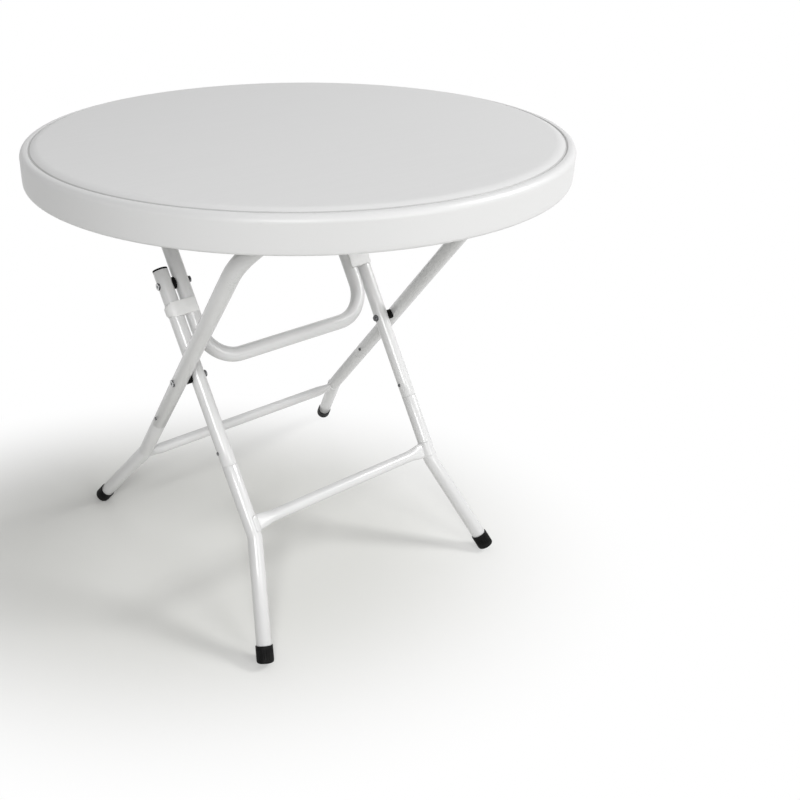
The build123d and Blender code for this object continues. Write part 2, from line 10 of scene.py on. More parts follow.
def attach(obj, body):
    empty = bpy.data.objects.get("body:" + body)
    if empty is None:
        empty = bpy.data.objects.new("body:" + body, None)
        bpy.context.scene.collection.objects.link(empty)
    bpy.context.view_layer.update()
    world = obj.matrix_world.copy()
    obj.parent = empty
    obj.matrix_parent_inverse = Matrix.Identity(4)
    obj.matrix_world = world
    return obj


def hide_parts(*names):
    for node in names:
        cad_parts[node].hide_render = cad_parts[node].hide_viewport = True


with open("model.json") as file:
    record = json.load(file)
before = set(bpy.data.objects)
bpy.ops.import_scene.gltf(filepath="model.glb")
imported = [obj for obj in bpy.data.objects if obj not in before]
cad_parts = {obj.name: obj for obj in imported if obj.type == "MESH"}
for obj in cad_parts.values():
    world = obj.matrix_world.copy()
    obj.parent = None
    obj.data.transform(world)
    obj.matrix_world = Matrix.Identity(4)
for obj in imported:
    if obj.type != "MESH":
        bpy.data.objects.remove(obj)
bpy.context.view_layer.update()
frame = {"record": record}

# Sizes in millimetres and degrees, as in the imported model. Tubes, bars and bolts by their radius
TABLE_RADIUS = 400.0
TABLE_HEIGHT = 743.0
RIM_TOP = 740.0
RIM_BOTTOM = 695.0
PANEL_BOTTOM = 718.0
RECESS_RADIUS = 372.0
HINGE_HEIGHT = 690.0
TUBE = 12.5
BORE = 11.3
BAR = 10.0
HINGE_BAR = 8.0
HINGE_BAR_BORE = 6.5
HINGE_BAR_END = 178.0
BOLT = 3.0
CROSS_SPACER = 8.5
BRACE_SPACER = 9.8
OUTER_X = 226.0
INNER_X = 193.0
BRACE_X = 163.5
FRONT_STRAP_X = 100.0
REAR_STRAP_X = 108.0
OUTER_Y = -229.0
BRACE_Y = 209.0
OUTER_FOOT_Y = 280.0
INNER_FOOT_Y = -286.0
SEAM_HEIGHT = 264.0
SCREW_ABOVE_SEAM = 24.0
LEG_BEND = 40.0
HOOP_BEND = 85.0
BRACE_BEND = 60.0
BRACE_BELOW_PIVOT = 140.0
TUBE_ABOVE_PIVOT = 24.0
EAR = 14.0
SEAT = 0.05
SADDLE_GAP = 0.08
STRAP_STEEL = 2.0
MOVING = 0.3
LEFT_AND_RIGHT = {"left": -1, "right": 1}
# Radius and height of the screw heads
LEG_SCREW = (3.0, 1.6)
STRAP_SCREW = (4.5, 2.4)
TO_METRES = 0.001
CRISP_ANGLE = 38
ACROSS = np.array([1.0, 0.0, 0.0])
BEHIND = np.array([0.0, 1.0, 0.0])
UP = np.array([0.0, 0.0, 1.0])


def unit(vectors):
    """The vector, or each row of vectors, divided by its length."""
    vectors = np.asarray(vectors, dtype=float)
    return vectors / np.linalg.norm(vectors, axis=-1, keepdims=True)


OUTER_HINGE = np.array([0.0, OUTER_Y, HINGE_HEIGHT])
BRACE_HINGE = np.array([0.0, BRACE_Y, HINGE_HEIGHT])
OUTER_DOWN = unit([0.0, OUTER_FOOT_Y - OUTER_Y, -HINGE_HEIGHT])
INNER_DOWN = unit([0.0, INNER_FOOT_Y - BRACE_Y, -HINGE_HEIGHT])
OUTER_LEG = {
    "hinge": OUTER_HINGE,
    "down": OUTER_DOWN,
    "normal": np.cross(ACROSS, OUTER_DOWN),
    "x": OUTER_X,
    "bend_height": 162.0,
    "splay": 17.2,
}
INNER_LEG = {
    "hinge": BRACE_HINGE,
    "down": INNER_DOWN,
    "normal": np.cross(ACROSS, INNER_DOWN),
    "x": INNER_X,
    "bend_height": 164.0,
    "splay": 16.4,
}
LEGS = {"outer": OUTER_LEG, "inner": INNER_LEG}
HINGES = {
    "front": (FRONT_STRAP_X, OUTER_HINGE, TUBE),
    "rear": (REAR_STRAP_X, BRACE_HINGE, HINGE_BAR),
}
BRACE_PIVOT = np.array(frame["record"]["behaviour"]["joints"][2]["pos_m"]) / TO_METRES


def run_to_height(leg, height):
    """Distance down a leg plane from its hinge axis to a height above the floor."""
    return (height - HINGE_HEIGHT) / leg["down"][2]


def crossing():
    """The point where the two leg planes cross: hinge + down * run, the run from a 2 by 2 solve."""
    sides = np.stack([OUTER_DOWN[1:], -INNER_DOWN[1:]], axis=1)
    run = np.linalg.solve(sides, (BRACE_HINGE - OUTER_HINGE)[1:])[0]
    return OUTER_HINGE + OUTER_DOWN * run


CROSS_PIVOT = crossing()
BRACE_RUN = float((BRACE_PIVOT - BRACE_HINGE) @ INNER_DOWN)


def patch(points, wrap_rows=False, wrap_columns=False):
    """Vertices and faces of a grid of points: each cell between four neighbours is one quad."""
    rows, columns = points.shape[:2]
    index = np.arange(rows * columns).reshape(rows, columns)
    if wrap_rows:
        index = np.vstack([index, index[:1]])
    if wrap_columns:
        index = np.hstack([index, index[:, :1]])
    corners = [index[:-1, :-1], index[:-1, 1:], index[1:, 1:], index[1:, :-1]]
    quads = np.stack(corners, axis=-1).reshape(-1, 4)
    return points.reshape(-1, 3), quads.tolist()


def capped(points):
    """A patch of rings with one face over each end."""
    vertices, faces = patch(points, wrap_columns=True)
    count = points.shape[1]
    last = len(vertices) - count
    return vertices, faces + [list(range(count)), list(range(last, last + count))]


def rounded_line(corners, radii, turn=7.5, guard=0.25):
    """Points of a line whose corners are arcs.

    Each arc is tangent to both runs: its ends lie radius * tan(bend / 2) from the corner,
    and its points are centre - inward * radius * cos(t) + ahead * radius * sin(t).
    A guard point on each side of an arc keeps the shading of the straight runs straight.
    """
    corners = np.array(corners, dtype=float)
    parts = [corners[:1]]
    for before, corner, after, radius in zip(corners[:-2], corners[1:-1], corners[2:], radii):
        if radius == 0:
            parts.append(corner[None])
            continue
        ahead = unit(corner - before)
        away = unit(after - corner)
        bend = np.arccos(np.clip(ahead @ away, -1, 1))
        reach = radius * np.tan(bend / 2)
        inward = unit(away - ahead * (ahead @ away))
        centre = corner - ahead * reach + inward * radius
        count = max(3, int(np.degrees(bend) / turn) + 2)
        t = np.linspace(0, bend, count)[:, None]
        parts.append(corner[None] - ahead * (reach + guard))
        parts.append(centre - inward * radius * np.cos(t) + ahead * radius * np.sin(t))
        parts.append(corner[None] + away * (reach + guard))
    parts.append(corners[-1:])
    return np.concatenate(parts)


def arc(centre, radius, start, end, count):
    """Points on a circle in a plane, from the start to the end angle in degrees."""
    t = np.radians(np.linspace(start, end, count))
    return np.stack([centre[0] + radius * np.cos(t), centre[1] + radius * np.sin(t)], axis=1)


def turned(profile, base, axis, count=64, side=None, flat=None):
    """Surface of revolution: base + along * axis + radius * (cos t * side + sin t * other side).

    The profile's rows are (radius, along). flat, where given, changes the grid of
    (radius, along) for each angle before the points are made.
    """
    axis = unit(axis)
    side = unit(side if side is not None else np.cross(axis, [0.3, 0.5, 0.81]))
    other = np.cross(axis, side)
    t = np.linspace(0, 2 * np.pi, count, endpoint=False)
    radius, along = np.repeat(profile[:, :1], count, 1), np.repeat(profile[:, 1:], count, 1)
    if flat is not None:
        radius, along = flat(radius, along, np.broadcast_to(t, radius.shape))
    around = np.cos(t)[:, None] * side + np.sin(t)[:, None] * other
    points = np.asarray(base) + along[..., None] * axis + radius[..., None] * around
    return patch(points, wrap_columns=True)


def pipe(path, normal, outer=TUBE, bore=BORE, edge=0.35, count=40):
    """Tube along a path in a plane, with its wall showing at both ends.

    Each ring is path + radius * (cos t * sideways + sin t * normal), sideways = normal x tangent.
    The rings run out along the outside, over the rounded end and back along the bore.
    """
    chord = unit(np.diff(path, axis=0))
    tangent = unit(np.concatenate([chord[:1], chord[1:] + chord[:-1], chord[-1:]]))
    steps = np.array([[0.0, edge], [0.3 * edge, 0.3 * edge], [edge, 0.0]])
    start = path[0] + steps[:, :1] * tangent[0]
    end = path[-1] - steps[::-1, :1] * tangent[-1]
    centres = np.concatenate([start, path[1:-1], end, path[::-1]])
    way = np.concatenate([tangent[[0] * 3], tangent[1:-1], tangent[[-1] * 3], tangent[::-1]])
    start_radius, end_radius = outer - steps[:, 1], outer - steps[::-1, 1]
    along, back = np.full(len(path) - 2, outer), np.full(len(path), bore)
    radius = np.concatenate([start_radius, along, end_radius, back])
    t = np.linspace(0, 2 * np.pi, count, endpoint=False)
    sideways = np.cross(normal, way)
    ring = np.cos(t)[None, :, None] * sideways[:, None, :] + np.sin(t)[None, :, None] * normal
    points = centres[:, None, :] + radius[:, None, None] * ring
    return patch(points, wrap_rows=True, wrap_columns=True)


def prism(outline, origin, x_dir, y_dir, z_dir, length, edge):
    """A closed outline in a plane carried along its normal, with rounded end edges.

    Ring = origin + (outline - inset * outward) + along * z_dir, where the inset and the
    distance from each end run through a quarter circle of the edge's radius.
    """
    following = np.roll(outline, -1, axis=0)
    ahead = unit(following - outline)
    tangent = unit(ahead + np.roll(ahead, 1, axis=0))
    area = np.sum(outline[:, 0] * following[:, 1] - following[:, 0] * outline[:, 1])
    outward = np.sign(area) * np.stack([tangent[:, 1], -tangent[:, 0]], axis=1)
    t = np.linspace(0, np.pi / 2, 4)
    inset = edge * (1 - np.sin(t))
    along = edge * (1 - np.cos(t))
    inset = np.concatenate([inset, inset[::-1]])
    along = np.concatenate([along, length - along[::-1]])
    flat = outline[None] - inset[:, None, None] * outward[None]
    face = origin + flat[..., :1] * x_dir + flat[..., 1:] * y_dir
    return capped(face + along[:, None, None] * z_dir)


def piece(name, patches, body, nodes, finish):
    """One object from its patches: doubles merged, faces turned outwards, sharp edges crisp."""
    vertices, faces, start = [], [], 0
    for points, cells in patches:
        vertices.append(points)
        faces += [[corner + start for corner in cell] for cell in cells]
        start += len(points)
    mesh = bpy.data.meshes.new(name)
    mesh.from_pydata((np.concatenate(vertices) * TO_METRES).tolist(), [], faces)
    shape = bmesh.new()
    shape.from_mesh(mesh)
    bmesh.ops.remove_doubles(shape, verts=shape.verts, dist=2e-6)
    bmesh.ops.dissolve_degenerate(shape, edges=shape.edges, dist=1e-7)
    bmesh.ops.recalc_face_normals(shape, faces=shape.faces)
    shape.to_mesh(mesh)
    shape.free()
    mesh.polygons.foreach_set("use_smooth", np.ones(len(mesh.polygons), dtype=bool))
    mesh.set_sharp_from_angle(angle=np.radians(CRISP_ANGLE))
    shown = bpy.data.objects.new(name, mesh)
    bpy.context.scene.collection.objects.link(shown)
    mesh.materials.append(finish)
    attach(shown, body)
    if nodes:
        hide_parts(*nodes)


class Reading:
    """A value in a node tree, so that shader maths reads as arithmetic."""

    def __init__(self, graph, socket):
        self.graph = graph
        self.socket = socket

    def maths(self, operation, first, second):
        return self.graph.node("ShaderNodeMath", {"operation": operation}, {0: first, 1: second})

    def __add__(self, other):
        return self.maths("ADD", self, other)

    def __radd__(self, other):
        return self.maths("ADD", other, self)

    def __rsub__(self, other):
        return self.maths("SUBTRACT", other, self)

    def __mul__(self, other):
        return self.maths("MULTIPLY", self, other)

    def __rmul__(self, other):
        return self.maths("MULTIPLY", other, self)


class Graph:
    """A node tree under construction, with one method that adds any node."""

    def __init__(self, tree):
        self.tree = tree
        self.tree.nodes.clear()

    def node(self, kind, settings, feeds, output=0):
        """Add a node: its settings first, then the values or links of its sockets."""
        made = self.tree.nodes.new(kind)
        for name, value in settings.items():
            setattr(made, name, value)
        for name, value in feeds.items():
            if isinstance(value, Reading):
                self.tree.links.new(value.socket, made.inputs[name])
            else:
                made.inputs[name].default_value = value
        return Reading(self, made.outputs[output])

    def watched(self):
        """1 for rays from the camera, also by a mirror or through glass, and 0 for others."""
        camera, glossy, passed = [
            self.node("ShaderNodeLightPath", {}, {}, f"Is {kind} Ray")
            for kind in ("Camera", "Glossy", "Transmission")
        ]
        settings = {"operation": "ADD", "use_clamp": True}
        return self.node("ShaderNodeMath", settings, {0: camera + glossy, 1: passed})

    def end(self, kind, surface):
        """Close the tree with an output node of a kind."""
        last = self.tree.nodes.new(kind)
        self.tree.links.new(surface.socket, last.inputs["Surface"])


class Finish(Graph):
    """A material under construction. Its places are in metres, in the table's own frame."""

    def __init__(self, name):
        self.material = bpy.data.materials.new(name)
        self.material.use_nodes = True
        super().__init__(self.material.node_tree)

    def place(self, stretch=(1, 1, 1), turn=(0, 0, 0)):
        """Object coordinates, stretched and turned."""
        where = self.node("ShaderNodeTexCoord", {}, {}, "Object")
        feeds = {"Vector": where, "Scale": stretch, "Rotation": turn}
        return self.node("ShaderNodeMapping", {}, feeds)

    def noise(self, scale, detail=3.0, stretch=(1, 1, 1), turn=(0, 0, 0), roughness=0.5):
        """Soft noise of about 0.5, at a scale given in waves per metre."""
        feeds = {"Vector": self.place(stretch, turn), "Scale": scale}
        feeds |= {"Detail": detail, "Roughness": roughness}
        return self.node("ShaderNodeTexNoise", {}, feeds)

    def band(self, value, low, high):
        """0 below the low value, 1 above the high one, smooth between."""
        settings = {"interpolation_type": "SMOOTHSTEP"}
        feeds = {"Value": value, 1: low, 2: high, 3: 0.0, 4: 1.0}
        return self.node("ShaderNodeMapRange", settings, feeds)

    def blend(self, share, first, second):
        """Colour between two colours."""
        return self.node("ShaderNodeMix", {"data_type": "RGBA"}, {0: share, 6: first, 7: second}, 2)

    def height(self):
        """Height above the floor."""
        return self.node("ShaderNodeSeparateXYZ", {}, {"Vector": self.place()}, "Z")

    def aside(self):
        """Distance to the left or right of the table's middle."""
        across = self.node("ShaderNodeSeparateXYZ", {}, {"Vector": self.place()}, "X")
        return self.node("ShaderNodeMath", {"operation": "ABSOLUTE"}, {0: across})

    def radius(self):
        """Distance from the table's axis."""
        flat = {0: self.place(), 1: (1, 1, 0)}
        flat = self.node("ShaderNodeVectorMath", {"operation": "MULTIPLY"}, flat)
        return self.node("ShaderNodeVectorMath", {"operation": "LENGTH"}, {0: flat}, "Value")

    def bump(self, height, strength, distance, under=None):
        """Surface normal moved by a height of up to a distance, on top of the normal under it."""
        feeds = {"Height": height, "Strength": strength, "Distance": distance}
        if under is not None:
            feeds["Normal"] = under
        return self.node("ShaderNodeBump", {}, feeds)

    def done(self, **sockets):
        """Close the tree with the surface shader."""
        feeds = {name.replace("_", " "): value for name, value in sockets.items()}
        self.end("ShaderNodeOutputMaterial", self.node("ShaderNodeBsdfPrincipled", {}, feeds))
        return self.material


def grey(level, blue=None):
    """A grey as a colour; blue, where given, is its third value."""
    return (level, level, level if blue is None else blue, 1)


def moulded_top():
    """Satin white plastic: faint drawn streaks on the disc, fine grain, painted shade in the
    groove.
    """
    f = Finish("moulded top")
    drawn = (0, 0, 0.16)
    streaks = f.noise(9.0, 5.0, (1, 14, 1), drawn, 0.62)
    clouds = f.noise(3.2, 2.0)
    speckle = f.noise(140.0, 4.0)
    grain = f.noise(1500.0, 2.0)
    waves = f.noise(38.0, 2.0, (1, 5, 1), drawn)
    from_axis, height = f.radius(), f.height()
    # Painted shade: mask of the groove's ring, where the shade in the recess is painted into the
    # colour
    painted_groove_shade = f.band(from_axis, 0.3826, 0.3838) * (1 - f.band(from_axis, 0.3858, 0.3870))
    painted_groove_shade = painted_groove_shade * f.band(height, 0.7370, 0.7380)
    disc = f.band(height, 0.7405, 0.7425)
    shade = f.blend(f.band(streaks, 0.30, 0.72) * disc, grey(0.652), grey(0.668))
    shade = f.blend(f.band(clouds, 0.35, 0.7) * 0.35, shade, grey(0.675, 0.673))
    shade = f.blend(f.band(speckle, 0.60, 0.80) * 0.10, shade, grey(0.60, 0.595))
    # Painted shade: the groove's ring is darkened in the colour
    shade = f.blend(painted_groove_shade * 0.60, shade, grey(0.26, 0.255))
    normal = f.bump(waves * disc, 0.05, 0.0006)
    normal = f.bump(grain, 0.10, 0.0002, normal)
    rough = 0.36 + 0.10 * streaks * disc + 0.06 * clouds
    return f.done(Base_Color=shade, Roughness=rough, Normal=normal, IOR=1.5, Specular_IOR_Level=0.5)


def powder_coat(name, tone, gloss):
    """Gloss white powder coat on steel, with orange peel and a little grime low down."""
    f = Finish(name)
    peel = f.noise(520.0, 2.0)
    fine = f.noise(2600.0, 1.0)
    patches = f.noise(14.0, 4.0)
    low = 1 - f.band(f.height(), 0.02, 0.16)
    specks = f.band(f.noise(900.0, 2.0), 0.70, 0.74)
    duller = tuple(level * 0.965 for level in tone[:3]) + (1,)
    shade = f.blend(f.band(patches, 0.3, 0.75), duller, tone)
    shade = f.blend(low * f.band(patches, 0.42, 0.62) * 0.10, shade, (0.36, 0.35, 0.33, 1))
    shade = f.blend(specks * 0.10, shade, grey(0.45, 0.44))
    normal = f.bump(peel, 0.05, 0.0002)
    normal = f.bump(fine, 0.02, 0.00005, normal)
    rough = gloss + 0.10 * patches + 0.05 * peel
    coat = {"Coat_Weight": 0.5, "Coat_Roughness": 0.12}
    return f.done(Base_Color=shade, Roughness=rough, Normal=normal, IOR=1.5, **coat)


def black_part(name, level, gloss, dusty):
    """Black rubber or plastic with a fine grain, greyer with dust towards the floor."""
    f = Finish(name)
    grain = f.noise(1900.0, 3.0)
    patches = f.noise(60.0, 4.0)
    low = 1 - f.band(f.height(), 0.004, 0.05)
    shade = f.blend(f.band(patches, 0.35, 0.7), grey(level, level * 1.02), grey(level * 1.7))
    shade = f.blend(low * f.band(patches, 0.40, 0.66) * dusty, shade, (0.15, 0.145, 0.135, 1))
    rough = gloss + 0.16 * patches + 0.06 * grain
    normal = f.bump(grain, 0.25, 0.0002)
    surface = {"Base_Color": shade, "Roughness": rough, "Normal": normal}
    return f.done(**surface, IOR=1.5, Specular_IOR_Level=0.07)


def plated_steel():
    """Zinc-plated steel with fine turned lines: its base colour painted dark for shade and dark
    reflections, which leaves the sides darker, and painted bright reflections on the flat faces of
    the bolt heads.
    """
    f = Finish("zinc plating")
    aside = f.aside()
    outer_seat, inner_seat = (OUTER_X + TUBE) * TO_METRES, (INNER_X + TUBE) * TO_METRES
    # Masks of the flat faces of the bolt heads, where a bright reflection is painted
    outer_face_reflection = f.band(aside, outer_seat + 0.0017, outer_seat + 0.0019)
    inner_face_reflection = f.band(aside, inner_seat + 0.0017, inner_seat + 0.0019)
    inner_face_reflection = inner_face_reflection * (1 - f.band(aside, inner_seat + 0.0025, inner_seat + 0.0027))
    clouds = f.noise(240.0, 4.0)
    lines = f.noise(700.0, 2.0, (0.2, 1, 1))
    # Painted shade: the plating's base colour is kept dark to stand for shade and dark reflections
    shade = f.blend(f.band(clouds, 0.3, 0.7), grey(0.07, 0.075), (0.24, 0.245, 0.25, 1))
    # Painted reflection: the flat faces of the bolt heads are made bright in the colour
    painted_reflection = (outer_face_reflection + inner_face_reflection) * (0.75 + 0.25 * clouds)
    shade = f.blend(painted_reflection, shade, (0.60, 0.605, 0.61, 1))
    rough = 0.24 + 0.22 * clouds + 0.06 * lines
    normal = f.bump(lines, 0.12, 0.0002)
    return f.done(Base_Color=shade, Metallic=1.0, Roughness=rough, Normal=normal)


def clip_plastic():
    """White moulded plastic of the clips, with a faint grain and soft patches."""
    f = Finish("clip plastic")
    grain = f.noise(1300.0, 2.0)
    patches = f.noise(70.0, 3.0)
    shade = f.blend(f.band(patches, 0.3, 0.7), grey(0.77, 0.765), grey(0.82, 0.815))
    rough = 0.36 + 0.14 * patches
    normal = f.bump(grain, 0.14, 0.0002)
    return f.done(Base_Color=shade, Roughness=rough, Normal=normal, IOR=1.49)


FINISHES = {
    "top_plastic": moulded_top(),
    "white_tube": powder_coat("tube powder coat", grey(0.69), 0.22),
    "strap_steel": powder_coat("strap powder coat", grey(0.70, 0.695), 0.26),
    "foot_rubber": black_part("foot rubber", 0.005, 0.36, 0.04),
    "black_plastic": black_part("black plastic", 0.004, 0.42, 0.0),
    "zinc_steel": plated_steel(),
    "clip_plastic": clip_plastic(),
}


def make(name, patches, slot, body):
    """A piece that stands for the node of its name, in the finish of its slot."""
    piece(name + "_shape", patches, body, [name], FINISHES[slot])


PIT_LIP = 12.4
PIT_COUNT = 36
BOSSES = [(side * x, hinge[1], bar) for x, hinge, bar in HINGES.values() for side in (-1, 1)]


def pit_places():
    """Centres of the moulded pits: rings of 6, 12 and 18, without those beside a hinge boss."""
    rings = [(105.0, 6), (202.5, 12), (300.0, 18)]
    clear_x, clear_y = 37.0, 49.0
    angle = np.concatenate([np.arange(count) * 2 * np.pi / count for _, count in rings])
    radius = np.concatenate([np.full(count, ring) for ring, count in rings])
    places = np.stack([radius * np.cos(angle), radius * np.sin(angle)], axis=1)
    apart = np.abs(places[:, None] - np.array(BOSSES)[None, :, :2])
    beside = (apart[..., 0] < clear_x) & (apart[..., 1] < clear_y)
    return places[~beside.any(axis=1)]


def top_panel(places, rim_count, rim_radius):
    """Flat underside between the recess and the pits: triangles between the rim ring and pit rings.

    Rim points are rim_radius * (cos t, sin t), pit points are place + lip * (cos s, sin s).
    Triangles with all three corners on one pit's ring lie in the pit and are left out.
    """
    t = np.linspace(0, 2 * np.pi, rim_count, endpoint=False)
    s = np.linspace(0, 2 * np.pi, PIT_COUNT, endpoint=False)
    rim = rim_radius * np.stack([np.cos(t), np.sin(t)], axis=1)
    lip = PIT_LIP * np.stack([np.cos(s), np.sin(s)], axis=1)
    pits = (places[:, None] + lip[None]).reshape(-1, 2)
    flat = np.concatenate([pits, rim])
    starts = np.arange(len(places)) * PIT_COUNT
    ring = np.arange(PIT_COUNT)
    steps = np.stack([ring, (ring + 1) % PIT_COUNT], axis=1)
    edges = (starts[:, None, None] + steps[None]).reshape(-1, 2)
    found = delaunay_2d_cdt([Vector(p) for p in flat], edges.tolist(), [], 0, 1e-6)
    triangles = np.array(found[2])
    owner = np.where(triangles < len(pits), triangles // PIT_COUNT, -1)
    inside = (owner[:, 0] >= 0) & (owner[:, 0] == owner[:, 1]) & (owner[:, 1] == owner[:, 2])
    points = np.array([(p.x, p.y, PANEL_BOTTOM) for p in found[0]])
    return points, triangles[~inside].tolist()


def pit(place):
    """A pit: its rounded lip, a cone up towards the top skin and a rounded bottom."""
    mouth, bottom, depth = 11.0, 4.0, 19.0
    corners = [(PIT_LIP, 0), (mouth, 0), (bottom, depth), (0, depth)]
    line = rounded_line(corners, [1.2, 2.0], 22, 0.05)
    return turned(line, (place[0], place[1], PANEL_BOTTOM), UP, PIT_COUNT, ACROSS)


def boss(place_x, place_y, bar_radius):
    """A hinge boss: a rounded block whose underside is a saddle, height = sqrt(r^2 - y^2) in it."""
    half_x, half_y, round_off = 20.0, 32.0, 1.2
    saddle = bar_radius + SADDLE_GAP
    edge = round_off * (1 - np.sin(np.linspace(0, np.pi / 2, 4)))
    edge_x, edge_y = half_x - edge, half_y - edge
    in_saddle = saddle * np.sin(np.linspace(-np.pi / 2, np.pi / 2, 25))
    xs = np.concatenate([[-half_x], -edge_x[::-1], np.linspace(-18, 18, 7), edge_x, [half_x]])
    ys = np.concatenate([[-half_y], -edge_y[::-1], in_saddle, edge_y, [half_y]])
    x, y = np.meshgrid(xs, ys, indexing="ij")
    up = np.sqrt(np.clip(saddle**2 - y**2, 0, None))
    for past in (np.abs(x) - half_x + round_off, np.abs(y) - half_y + round_off):
        fall = np.sqrt(np.clip(round_off**2 - np.clip(past, 0, None) ** 2, 0, None))
        up = np.maximum(up, round_off - fall)
    into_panel = PANEL_BOTTOM + 1.0 - HINGE_HEIGHT
    up[[0, -1], :] = into_panel
    up[:, [0, -1]] = into_panel
    points = np.stack([x + place_x, y + place_y, HINGE_HEIGHT + up], axis=-1)
    lid = points[[0, 0, -1, -1], [0, -1, -1, 0]]
    return patch(points), (lid, [[0, 1, 2, 3]])


def build_table_top():
    """Outside of the hollow top, turned from one line, with the panel, pits and bosses below."""
    count = 288
    corners = [
        (0, TABLE_HEIGHT),
        (377.4, TABLE_HEIGHT),
        (383.0, RIM_TOP),
        (385.0, 738.4),
        (387.0, RIM_TOP),
        (398.0, RIM_TOP),
        (TABLE_RADIUS, 703.0),
        (TABLE_RADIUS, RIM_BOTTOM),
        (RECESS_RADIUS, RIM_BOTTOM),
        (RECESS_RADIUS, PANEL_BOTTOM),
        (340.0, PANEL_BOTTOM),
    ]
    bends = [24.0, 0.5, 0.7, 0.6, 9.0, 30.0, 4.0, 4.0, 8.0]
    outside = rounded_line(corners, bends, 7.5, 0.2)[:-1]
    shell = turned(outside, (0, 0, 0), UP, count, ACROSS)
    places = pit_places()
    panel = top_panel(places, count, outside[-1, 0])
    pits = [pit(place) for place in places]
    make("table_top", [shell, panel] + pits, "top_plastic", "table_top")
    bosses = [part for where in BOSSES for part in boss(*where)]
    piece("hinge_bosses", bosses, "table_top", [], FINISHES["top_plastic"])


def in_plane(leg, flat):
    """Points of a leg plane: hinge + x * ACROSS + run * down."""
    flat = np.asarray(flat, dtype=float)
    return leg["hinge"] + flat[..., :1] * ACROSS + flat[..., 1:] * leg["down"]


def tube_in_plane(leg, corners, bend, **sizes):
    """A tube along corners given as (x, run) in a leg plane."""
    line = rounded_line(corners, [bend] * (len(corners) - 2), 4.5, 0.8)
    return pipe(in_plane(leg, line), leg["normal"], **sizes)


FOOT_RADIUS = 14.25
FOOT_BORE = 12.2
FOOT_ROUND = 4.0
FOOT_BASE = 4.0
FOOT_LENGTH = 28.0
FLUTES = 24
FLUTE_DEPTH = 0.7
FLUTE_LOW = 5.0
FLUTE_HIGH = 23.0


def leg_end(leg):
    """The foot's end on the leg's axis, as x and run, and the leg's direction below its bend."""
    angle = np.radians(leg["splay"])
    lean = leg["down"] * np.cos(angle) + ACROSS * np.sin(angle)
    tilt = np.sqrt(1 - lean[2] ** 2)
    height = (FOOT_RADIUS - FOOT_ROUND) * tilt + FOOT_ROUND * (1 + lean[2])
    run = run_to_height(leg, height)
    x = leg["x"] + (run - run_to_height(leg, leg["bend_height"])) * np.tan(angle)
    return x, run, lean


def mirrored(side, vector):
    """The vector on the left or right side of the table."""
    return np.array([side * vector[0], vector[1], vector[2]])


def lower_leg(leg, side):
    """Lower leg: a straight run, a bend, the splayed run into its foot and the seam's sleeve."""
    end_x, end_run, _ = leg_end(leg)
    angle = np.radians(leg["splay"])
    end_run -= FOOT_BASE * np.cos(angle)
    end_x -= FOOT_BASE * np.sin(angle)
    seam = run_to_height(leg, SEAM_HEIGHT)
    bend = run_to_height(leg, leg["bend_height"])
    corners = [(side * leg["x"], seam), (side * leg["x"], bend), (side * end_x, end_run)]
    tube = tube_in_plane(leg, corners, LEG_BEND, edge=0.7)
    thin, thick, above, below = 10.05, 11.25, -38.0, 2.0
    sleeve = np.array([(thin, above), (thick, above), (thick, below), (thin, below), (thin, above)])
    return [tube, turned(sleeve, in_plane(leg, corners[0]), leg["down"], 40)]


def foot(leg, side):
    """Rubber cap with flutes between plain bands, rounded at the floor.

    A flute's depth is FLUTE_DEPTH * (cos(FLUTES * angle) - 0.55) / 0.45 where that is above 0.
    """
    end_x, end_run, lean = leg_end(leg)
    end = in_plane(leg, (side * end_x, end_run))
    dish = np.array([(0.0, 0.8), (6.5, 0.8), (8.0, 0.0)])
    low_corners = [(0, 0), (FOOT_RADIUS, 0), (FOOT_RADIUS, FLUTE_LOW - 0.1)]
    low = rounded_line(low_corners, [FOOT_ROUND], 15, 0.1)[1:-1]
    runout = np.array([0.0, 0.3, 0.8])
    straight = np.linspace(FLUTE_LOW + 2, FLUTE_HIGH - 2, 5)
    height = np.concatenate([FLUTE_LOW + runout, straight, FLUTE_HIGH - runout[::-1]])
    fluted = np.stack([np.full(len(height), FOOT_RADIUS), height], axis=1)
    high_corners = [(FOOT_RADIUS, FLUTE_HIGH + 0.5), (FOOT_RADIUS, FOOT_LENGTH)]
    high_corners.append((FOOT_BORE, FOOT_LENGTH))
    high = rounded_line(high_corners, [0.9], 20, 0.05)
    inner = np.array([(FOOT_BORE, 20.0), (0.0, 20.0)])
    line = np.concatenate([dish, low, fluted, high, inner])

    def flute(radius, along, angle):
        ends = np.clip(np.minimum(along - FLUTE_LOW, FLUTE_HIGH - along) / 0.8, 0, 1)
        depth = FLUTE_DEPTH * np.clip((np.cos(FLUTES * angle) - 0.55) / 0.45, 0, None)
        return np.where(radius > FOOT_RADIUS - 0.01, radius - depth * ends, radius), along

    return turned(line, end, -mirrored(side, lean), 240, leg["normal"], flute)


